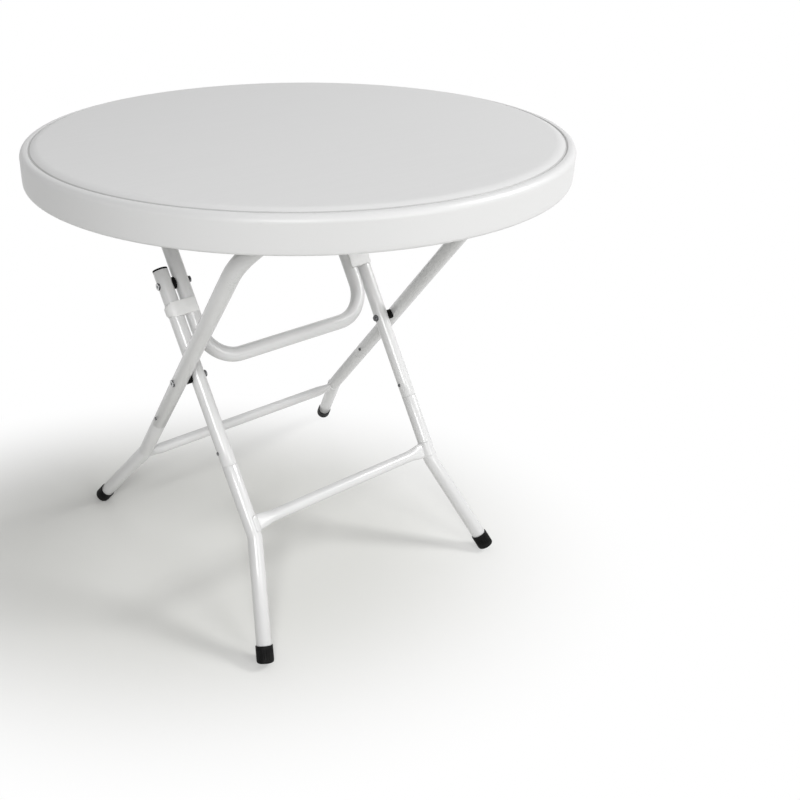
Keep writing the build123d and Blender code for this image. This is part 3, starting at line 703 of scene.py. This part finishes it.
def crossbar(leg, bar_run, bar_x, splay):
    """Round bar that flattens into ears wrapped round the inner half of the legs.

    Sections are superellipses at x, with half-axes blended from the bar's radius to the
    ear's by a smooth step; each ear is a half shell round the leg with rounded corners.
    """
    thin, flare, into_leg = 6.0, 34.0, 3.0
    shoulder = bar_x - TUBE - flare
    end = shoulder + np.linspace(0, 1, 22) * (bar_x - into_leg - shoulder)
    xs = np.concatenate([-end[::-1], [1.0 - shoulder, shoulder - 1.0], end])
    share = np.clip((np.abs(xs) - shoulder) / flare, 0, 1)
    share = share * share * (3 - 2 * share)
    tall = BAR + (EAR - 0.4 - BAR) * share
    deep = BAR + (thin - BAR) * share
    squareness = 1 - 0.28 * share[:, None]

    def wave(turn):
        return np.sign(turn)[None] * np.abs(turn)[None] ** squareness

    t = np.linspace(0, 2 * np.pi, 48, endpoint=False)
    centre = in_plane(leg, np.stack([xs, np.full_like(xs, bar_run)], axis=1))
    high = (tall[:, None] * wave(np.cos(t)))[..., None] * leg["down"]
    wide = (deep[:, None] * wave(np.sin(t)))[..., None] * leg["normal"]
    made = [capped(centre[:, None, :] + high + wide)]
    for side in LEFT_AND_RIGHT.values():
        made += ear_shell(leg, side, bar_run, bar_x, splay)
    return made


def ear_shell(leg, side, bar_run, bar_x, splay):
    """Half shell round a leg: points at angle a round the leg and place z along it.

    The outside comes down to the bore's radius by a rounded lip all round, and the shell's
    length narrows towards its sides so that the corners are rounded.
    """
    angle = np.radians(splay)
    along = mirrored(side, leg["down"] * np.cos(angle) + ACROSS * np.sin(angle))
    middle = in_plane(leg, (side * bar_x, bar_run))
    inward = unit(np.cross(along, leg["normal"]))
    inward = inward if inward[0] * side < 0 else -inward
    inner, outer = TUBE + SEAT, TUBE + 1.85
    turn = np.linspace(-90, 90, 41)
    corner = np.clip((np.abs(turn) - 68) / 22, 0, 1)
    narrow = EAR - 5.0 * (1 - np.sqrt(1 - corner**2))
    depth = np.sin(np.linspace(-np.pi / 2, np.pi / 2, 21))
    a = np.radians(turn)[:, None]
    z = narrow[:, None] * depth[None]
    beside = np.clip((90 - np.abs(turn)) / 24, 0, 1)[:, None]
    lip = np.minimum(beside, np.clip((1 - np.abs(depth)) / 0.16, 0, 1)[None])
    thick = inner + (outer - inner) * np.sqrt(1 - (1 - lip) ** 2)
    direction = np.cos(a)[..., None] * inward + np.sin(a)[..., None] * leg["normal"]
    outside = middle + thick[..., None] * direction + z[..., None] * along
    inside = middle + inner * direction + z[..., None] * along
    return [patch(outside), patch(inside[:, ::-1])]


def on_tube(radius, angle):
    """How far a round tube's surface lies behind its tangent plane at a radius and angle."""
    return -(TUBE - np.sqrt(np.clip(TUBE**2 - (radius * np.sin(angle)) ** 2, 0, None)))


def seated(profile, centre, axis, along_tube, count, shape=None):
    """A turned part whose first three rows drop onto a round tube behind it."""

    def settle(radius, along, angle):
        if shape is not None:
            radius, along = shape(radius, along, angle)
        rows = np.zeros(radius.shape)
        rows[:3] = 1
        return radius, along + rows * on_tube(radius, angle)

    return turned(profile, centre, axis, count, along_tube, settle)


def flat_or_corner(angle):
    """Radius of a hexagon with flats at 1, at an angle: 1 / cos(angle within its sixth)."""
    return 1 / np.cos(np.mod(angle, np.pi / 3) - np.pi / 6)


def hexagon(flat_radius):
    """Cut a turned part to a hexagon."""

    def limit(radius, along, angle):
        return np.minimum(radius, flat_radius * flat_or_corner(angle)), along

    return limit


def socket(flat_radius):
    """A hexagon socket: points at its radius move out to the hexagon."""

    def limit(radius, along, angle):
        near = np.abs(radius - flat_radius) < 0.1
        return np.where(near, flat_radius * flat_or_corner(angle), radius), along

    return limit


def button_head(centre, side, along_tube, tube_x):
    """Flat bolt head with a rounded edge and a hexagon socket, on a skirt that sits on the tube."""
    flat_radius = 2.25
    skirt = [(3.2, -0.4), (5.8, -0.4), (6.0, 0.0), (6.0, 1.0)]
    inside = [(3.4, 2.0), (2.5, 2.0), (flat_radius, 1.85), (flat_radius, 0.7), (0.0, 0.5)]
    line = np.concatenate([skirt, arc((5.0, 1.05), 0.95, 6, 80, 7), inside])
    base = np.array([side * (tube_x + TUBE + SEAT), centre[1], centre[2]])
    return seated(line, base, (side, 0, 0), along_tube, 60, socket(flat_radius))


def shank(centre, side, low, high):
    """Plain round bolt between two distances from the middle, with chamfered ends."""
    end = BOLT - 0.5
    low_end, high_end = [(0, low), (end, low)], [(end, high), (0, high)]
    line = np.array([*low_end, (BOLT, low + 0.5), (BOLT, high - 0.5), *high_end])
    return turned(line, (0, centre[1], centre[2]), (side, 0, 0), 32)


def nut(centre, side, seat_x, along_tube=None):
    """Low domed hexagon nut with corners cut by a cone; on a tube, a washer sits between them."""
    sides = [(3.2, 0.0), (5.77, 0.0), (5.77, 2.4), (5.4, 2.75), (4.9, 3.0)]
    dome = [(4.1, 3.05), (3.9, 3.5), (3.3, 3.85), (0.0, 3.9)]
    line = np.array(sides + dome)
    base = np.array([side * seat_x, centre[1], centre[2]])
    if along_tube is None:
        return [turned(line, base, (-side, 0, 0), 72, UP, hexagon(5.0))]
    washer = np.array([(3.2, -0.1), (6.1, -0.1), (6.3, 0.1), (6.3, 0.35), (6.0, 0.55), (3.2, 0.55)])
    return [
        turned(line, base, (-side, 0, 0), 72, along_tube, hexagon(5.0)),
        seated(washer, base, (-side, 0, 0), along_tube, 60),
    ]


def cross_recess(radius, along, angle):
    """Lower a screw head where a cross recess is cut: deepest in the middle, thin at its arms."""
    x, y = radius * np.cos(angle), radius * np.sin(angle)
    arm = np.minimum(np.abs(x), np.abs(y))
    cut = np.clip((0.5 - arm) / 0.2, 0, 1) * np.clip((2.1 - radius) / 0.4, 0, 1)
    return radius, np.where(along > 0.5, along - cut * np.clip(1.5 - radius * 0.35, 0, None), along)


def pan_head(centre, axis, size, tall, along_tube=None):
    """Pan screw head with a cross recess, on a skirt that sits on the tube if there is one."""
    t = np.radians(np.linspace(0, 80, 8))
    half = tall * 0.5
    rim = np.stack([size - half + half * np.cos(t), half + half * np.sin(t)], axis=1)
    inner = np.linspace(size - half, 0, 15)
    crown = np.stack([inner, tall - 0.18 * (inner / size) ** 2], axis=1)
    line = np.concatenate([[(0, -0.3), (size - 0.1, -0.3), (size, 0.0)], rim, crown])
    if along_tube is None:
        return turned(line, centre, axis, 64, ACROSS, cross_recess)
    return seated(line, centre, axis, along_tube, 64, cross_recess)


def spacer(centre, side, size, low, high, along_tube):
    """Notched black spacer; its face on its own tube is hollowed to fit, the other is flat."""
    hole, rounding, notches, notch_depth = 3.1, 0.5, 16, 0.9
    edge = size - rounding
    outer = [(edge, high), (size, high - rounding), (size, low + rounding), (edge, low)]
    line = np.array([(hole, high), *outer, (hole, low), (hole, high)])

    def shape(radius, along, angle):
        notch = np.clip(np.cos(angle * notches) - 0.35, 0, None) / 0.65 * notch_depth
        fit = np.where(along > high - rounding - 0.01, -on_tube(radius, angle) * 0.9, 0)
        return np.where(radius > size - 1, radius - notch, radius), along + fit

    return turned(line, (0, centre[1], centre[2]), (side, 0, 0), 160, along_tube, shape)


def plug(side):
    """Black end plug: a thin rounded cap on the tube's end and a shank inside."""
    head, shank_end, shank_radius, face = 3.0, 10.0, 11.2, 9.2
    cap = rounded_line([(face, 0), (TUBE, 0), (TUBE, head)], [0.9], 15, 0.05)[1:]
    dish = [(0.0, 0.1), (face - 0.7, 0.1), (face, 0.0)]
    inside = [(shank_radius, head), (shank_radius, shank_end), (0.0, shank_end)]
    base = in_plane(INNER_LEG, (side * INNER_X, BRACE_RUN - TUBE_ABOVE_PIVOT - head))
    return turned(np.concatenate([dish, cap, inside]), base, INNER_DOWN, 56)


def strap(place_x, hinge, bar_radius):
    """Bent steel strap: a centre line of two flanges and a half ring, thickened to both sides."""
    half_length, width, half_steel = 31.9, 30.0, STRAP_STEEL / 2
    middle = bar_radius + SADDLE_GAP + half_steel
    first = 200 if bar_radius > BAR else 207
    ring = arc((0, 0), middle, first, 540 - first, 21)
    rear = [(-half_length, -half_steel), (-middle, -half_steel)]
    front = [(middle, -half_steel), (half_length, -half_steel)]
    corners = np.concatenate([rear, ring, front])
    line = rounded_line(corners, [2.0] + [0] * len(ring) + [2.0], 15, 0.05)
    ahead = unit(np.gradient(line, axis=0))
    across = half_steel * np.stack([-ahead[:, 1], ahead[:, 0]], axis=1)
    outline = np.concatenate([line + across, (line - across)[::-1]])
    origin = hinge + ACROSS * (place_x - width / 2)
    return prism(outline, origin, BEHIND, UP, ACROSS, width, 0.5)


def clip(side):
    """Lock clip: a bridge from the brace's arm over the near side of the inner tube, with a lip.

    Stations run along the section from the arm to the lip, each with an outer and an inner
    point. At every point the clip reaches half * sqrt(1 - q^2.4) to both sides of its middle,
    where q runs from 0 to 1 over half and ends 1 mm past the tip, so the far end is rounded.
    """
    cover, bore, arm_bore, half, edge = 15.3, 12.8, 12.55, 12.0, 0.8
    start = np.degrees(np.arccos(-6.0 / arm_bore))
    low = np.degrees(np.arcsin(-4.0 / cover))

    def round_tube(radius, lip_radius):
        middle = (INNER_X, 0.0)
        return [arc(middle, radius, 86, low + 1, 30), arc(middle, lip_radius, low, low, 1)]

    def reach(points):
        q = np.clip((points[:, 0] - INNER_X - cover - 1.0 + half) / half, 0, 1)
        return half * (1 - q**2.4) ** 0.5

    on_arm = arc((BRACE_X, 0.0), arm_bore, start, 0, 24)
    first = [(BRACE_X - x, np.sqrt(arm_bore**2 - x**2)) for x in (6.0, 5.95, 5.8, 5.5)]
    near = np.concatenate([first, on_arm[1:], arc((INNER_X, 0.0), bore, 180, 90, 18)])
    rise = np.clip((BRACE_X - 6.0 + edge - near[:, 0]) / edge, 0, 1)
    far = np.stack([near[:, 0], cover - edge * (1 - np.sqrt(1 - rise**2))], axis=1)
    near = np.concatenate([near] + round_tube(bore, 13.6))
    far = np.concatenate([far] + round_tube(cover, 14.6))
    outward = unit(far - np.array([INNER_X, 0.0]))
    outward[far[:, 0] < INNER_X] = (0.0, 1.0)

    t = np.linspace(0, np.pi / 2, 5)
    sink, back = edge * (1 - np.sin(t)), edge * (1 - np.cos(t))
    sink = np.concatenate([sink, [0.0], sink[::-1]])
    end = reach(far)[:, None]
    squeeze = np.clip(end / edge, 0, 1)
    level = np.concatenate([-end + back * squeeze, end * 0, end - back[::-1] * squeeze], axis=1)
    top = far[:, None] - sink[None, :, None] * outward[:, None]
    under = np.repeat(near[:, None], 5, axis=1)
    under_level = reach(near)[:, None] * np.linspace(1, -1, 5)
    flat = np.concatenate([top, under], axis=1)
    along = np.concatenate([level, under_level], axis=1) + half
    origin = in_plane(INNER_LEG, (0, BRACE_RUN + 31.0))
    section = side * flat[..., :1] * ACROSS - flat[..., 1:] * INNER_LEG["normal"]
    return capped(origin + section + along[..., None] * INNER_DOWN)


def weld(centre):
    """Bead round the hinge bar: a ring whose radius swells with a slow ripple."""
    size = 1.7
    t = np.radians(np.linspace(0, 360, 11))
    swell = HINGE_BAR - 0.3 + size * np.clip(np.cos(t), 0, None) ** 0.8
    line = np.stack([swell, size * 0.9 * np.sin(t)], axis=1)

    def ripple(bead, along, angle):
        return bead + 0.16 * np.sin(angle * 19) * (bead > HINGE_BAR), along

    return turned(line, centre, ACROSS, 76, None, ripple)


build_table_top()

seam_outer = run_to_height(OUTER_LEG, SEAM_HEIGHT)
seam_inner = run_to_height(INNER_LEG, SEAM_HEIGHT)
hoop_corners = [(OUTER_X, seam_outer), (OUTER_X, 0), (-OUTER_X, 0), (-OUTER_X, seam_outer)]
hoop = tube_in_plane(OUTER_LEG, hoop_corners, HOOP_BEND)
make("outer_hoop", [hoop], "white_tube", "outer_frame")

brace_top, brace_low = -18.0, BRACE_RUN + BRACE_BELOW_PIVOT
brace_corners = [(BRACE_X, brace_top), (BRACE_X, brace_low)]
brace_corners += [(-BRACE_X, brace_low), (-BRACE_X, brace_top)]
brace_patches = [tube_in_plane(INNER_LEG, brace_corners, BRACE_BEND)]
for side in LEFT_AND_RIGHT.values():
    for face in (-1, 1):
        spot = BRACE_HINGE + ACROSS * (side * BRACE_X + face * (TUBE - 0.6))
        brace_patches.append(weld(spot))
make("brace_tube", brace_patches, "white_tube", "brace")
bar_guard = HINGE_BAR_END - 8.0
bar_places = (-HINGE_BAR_END, -bar_guard, bar_guard, HINGE_BAR_END)
bar_ends = BRACE_HINGE + np.outer(bar_places, ACROSS)
make("brace_hinge_bar", [pipe(bar_ends, UP, HINGE_BAR, HINGE_BAR_BORE)], "white_tube", "brace")

splay = np.radians(OUTER_LEG["splay"])
below_bend = (LEG_BEND * np.tan(splay / 2) + EAR + MOVING) * np.cos(splay)
outer_bar_run = run_to_height(OUTER_LEG, OUTER_LEG["bend_height"]) + below_bend
outer_bar_x = OUTER_X + below_bend * np.tan(splay)
outer_bar = crossbar(OUTER_LEG, outer_bar_run, outer_bar_x, OUTER_LEG["splay"])
make("outer_crossbar", outer_bar, "white_tube", "outer_frame")
above_bend = LEG_BEND * np.tan(np.radians(INNER_LEG["splay"]) / 2) + EAR + MOVING
inner_bar_run = run_to_height(INNER_LEG, INNER_LEG["bend_height"]) - above_bend
inner_bar = crossbar(INNER_LEG, inner_bar_run, INNER_X, 0.0)
make("inner_crossbar", inner_bar, "white_tube", "inner_frame")

screws = {"outer": [], "inner": []}
cross_bolts, cross_nuts, brace_bolts, brace_nuts = [], [], [], []
for name, side in LEFT_AND_RIGHT.items():
    for part, leg in LEGS.items():
        make(f"{part}_leg_{name}", lower_leg(leg, side), "white_tube", f"{part}_frame")
    for part, leg in LEGS.items():
        make(f"{part}_foot_{name}", [foot(leg, side)], "foot_rubber", f"{part}_frame")
    runs = [BRACE_RUN - TUBE_ABOVE_PIVOT, BRACE_RUN, seam_inner - 30.0, seam_inner]
    upper = pipe(in_plane(INNER_LEG, [(side * INNER_X, run) for run in runs]), INNER_LEG["normal"])
    make(f"inner_tube_{name}", [upper], "white_tube", "inner_frame")
    make(f"inner_plug_{name}", [plug(side)], "black_plastic", "inner_frame")
    make(f"lock_clip_{name}", [clip(side)], "clip_plastic", "brace")
    for end, (place_x, hinge, bar) in HINGES.items():
        held = strap(side * place_x, hinge, bar)
        make(f"hinge_strap_{end}_{name}", [held], "strap_steel", "table_top")
    low, high = INNER_X + TUBE + MOVING, OUTER_X - TUBE - SEAT
    ring = spacer(CROSS_PIVOT, side, CROSS_SPACER, low, high, OUTER_DOWN)
    make(f"cross_spacer_{name}", [ring], "black_plastic", "outer_frame")
    low, high = BRACE_X + TUBE + MOVING, INNER_X - TUBE - SEAT
    ring = spacer(BRACE_PIVOT, side, BRACE_SPACER, low, high, INNER_DOWN)
    make(f"brace_spacer_{name}", [ring], "black_plastic", "inner_frame")
    for part, leg in LEGS.items():
        run = run_to_height(leg, SEAM_HEIGHT) - SCREW_ABOVE_SEAM
        spot = in_plane(leg, (side * leg["x"] - TUBE, run))
        screws[part].append(pan_head(spot, -ACROSS, *LEG_SCREW, leg["down"]))
    cross_bolts.append(button_head(CROSS_PIVOT, side, OUTER_DOWN, OUTER_X))
    cross_bolts.append(shank(CROSS_PIVOT, side, INNER_X + TUBE + MOVING, OUTER_X + TUBE))
    cross_nuts += nut(CROSS_PIVOT, side, INNER_X - TUBE - SEAT, INNER_DOWN)
    cross_nuts.append(shank(CROSS_PIVOT, side, INNER_X - TUBE, INNER_X + TUBE))
    brace_bolts.append(button_head(BRACE_PIVOT, side, INNER_DOWN, INNER_X))
    brace_bolts.append(shank(BRACE_PIVOT, side, BRACE_X - TUBE - MOVING, INNER_X + TUBE))
    brace_nuts += nut(BRACE_PIVOT, side, BRACE_X - TUBE - MOVING)
make("outer_leg_screws", screws["outer"], "zinc_steel", "outer_frame")
make("inner_leg_screws", screws["inner"], "zinc_steel", "inner_frame")
make("cross_bolts", cross_bolts, "zinc_steel", "outer_frame")
make("cross_nuts", cross_nuts, "zinc_steel", "inner_frame")
make("brace_bolts", brace_bolts, "zinc_steel", "inner_frame")
make("brace_nuts", brace_nuts, "zinc_steel", "inner_frame")
strap_heads = []
for x, hinge, bar in HINGES.values():
    from_bar = (bar + 34.0) / 2
    for side in LEFT_AND_RIGHT.values():
        for way in (-1, 1):
            spot = hinge + np.array([side * x, way * from_bar, -STRAP_STEEL])
            strap_heads.append(pan_head(spot, -UP, *STRAP_SCREW))
make("strap_screws", strap_heads, "zinc_steel", "table_top")


def floor_finish():
    """Pale floor that takes shadows in a wide oval by the table and is plain white further off."""
    f = Finish("floor")
    oval = {
        "Vector": f.node("ShaderNodeTexCoord", {}, {}, "Object"),
        "Location": (-0.204, 0.051, 0),
        "Rotation": (0, 0, -0.5754),
        "Scale": (1.536, 1, 1),
    }
    turned_there = f.node("ShaderNodeMapping", {"vector_type": "TEXTURE"}, oval)
    reach = f.node("ShaderNodeVectorMath", {"operation": "LENGTH"}, {0: turned_there}, "Value")
    share = f.band(reach, 0.190, 0.560) * f.watched()
    plain = f.node("ShaderNodeBsdfDiffuse", {}, {"Color": grey(0.795, 0.770)})
    white = f.node("ShaderNodeEmission", {}, {"Color": grey(1.0), "Strength": 1.0})
    mixed = f.node("ShaderNodeMixShader", {}, {0: share, 1: plain, 2: white})
    f.end("ShaderNodeOutputMaterial", mixed)
    return f.material


floor_mesh = bpy.data.meshes.new("floor")
floor_mesh.from_pydata([(-15, -15, 0), (15, -15, 0), (15, 15, 0), (-15, 15, 0)], [], [(0, 1, 2, 3)])
floor_mesh.materials.append(floor_finish())
floor = bpy.data.objects.new("floor", floor_mesh)
bpy.context.scene.collection.objects.link(floor)

# The surroundings are plain white where they are seen, and only a weak light elsewhere
world = bpy.data.worlds.new("studio")
bpy.context.scene.world = world
world.use_nodes = True
sky = Graph(world.node_tree)
lit = sky.node("ShaderNodeBackground", {}, {"Color": grey(1.0), "Strength": 0.21})
seen = sky.node("ShaderNodeBackground", {}, {"Color": grey(1.0), "Strength": 1.0})
choice = sky.node("ShaderNodeMixShader", {}, {0: sky.watched(), 1: lit, 2: seen})
sky.end("ShaderNodeOutputWorld", choice)

LIT_PLACE = Vector((0.0, 0.0, 0.4))
LAMP_DISTANCE = 3.6


def lamp(name, azimuth, elevation, size, power):
    """A square soft lamp in a direction from the table's middle, in degrees, pointing at it."""
    turn, lift = np.radians([azimuth, elevation])
    way = Vector((np.cos(turn) * np.cos(lift), np.sin(turn) * np.cos(lift), np.sin(lift)))
    data = bpy.data.lights.new(name, "AREA")
    data.size = size
    data.energy = power
    placed = bpy.data.objects.new(name, data)
    placed.location = LIT_PLACE + LAMP_DISTANCE * way
    placed.rotation_euler = (-way).to_track_quat("-Z", "Y").to_euler()
    bpy.context.scene.collection.objects.link(placed)


lamp("key", -32.0, 37.0, 0.9, 62)
lamp("front", -128.0, 31.0, 1.3, 61)
lamp("right", -82.0, 22.0, 1.3, 23)
lamp("above", 0.0, 89.0, 1.3, 6)
lamp("back", 57.0, 55.0, 1.3, 6)

# The camera: picture, focal length and optical centre in pixels, turns in degrees, eye in metres
PICTURE = 800.0
FOCAL = 798.08
CENTRE = (263.01, 434.25)
YAW, PITCH, ROLL = np.radians([32.97, 33.29, -1.01])
EYE = (-0.71951, -1.00925, 1.01399)
ahead = np.array([np.sin(YAW) * np.cos(PITCH), np.cos(YAW) * np.cos(PITCH), -np.sin(PITCH)])
level = np.array([np.cos(YAW), -np.sin(YAW), 0.0])
upright = np.cross(level, ahead)
right = level * np.cos(ROLL) + upright * np.sin(ROLL)
upward = upright * np.cos(ROLL) - level * np.sin(ROLL)
view = bpy.data.cameras.new("camera")
view.sensor_width = 36.0
view.lens = FOCAL / PICTURE * view.sensor_width
view.shift_x = (PICTURE / 2 - CENTRE[0]) / PICTURE
view.shift_y = (CENTRE[1] - PICTURE / 2) / PICTURE
view.clip_start, view.clip_end = 0.05, 60.0
camera = bpy.data.objects.new("camera", view)
camera.matrix_world = Matrix([*zip(right, upward, -ahead, EYE), (0, 0, 0, 1)])
bpy.context.scene.collection.objects.link(camera)
bpy.context.scene.camera = camera
bpy.context.scene.view_settings.view_transform = "Standard"
